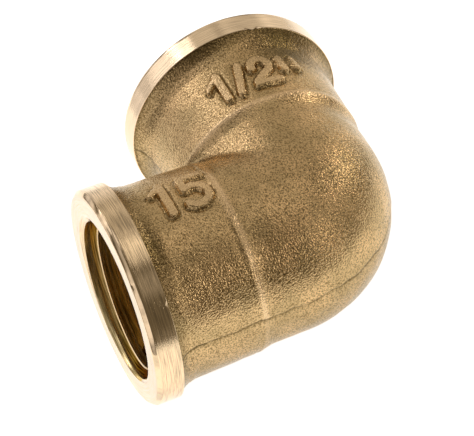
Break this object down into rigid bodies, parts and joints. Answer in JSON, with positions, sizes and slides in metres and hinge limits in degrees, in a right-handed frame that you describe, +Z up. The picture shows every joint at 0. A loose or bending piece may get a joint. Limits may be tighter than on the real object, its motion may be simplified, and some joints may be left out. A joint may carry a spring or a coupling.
{
  "type": "threaded pipe elbow",
  "caption": "One-piece 90 degree brass pipe elbow with two female threaded ports, turned collars and a cast, grained body.",
  "frame": {"origin": "bottom centre of the bounding box, with the elbow lying on its side on its two collars", "axes": "+X out of one port, +Y out of the other port, +Z up, square to the plane of both port axes"},
  "size_m": [0.04, 0.04, 0.028],
  "materials": {
    "cast_brass": "shot-blasted cast brass skin with bright turned collars and bores"
  },
  "bodies": {
    "root": {"elbow_body": "cast_brass"}
  },
  "joints": []
}
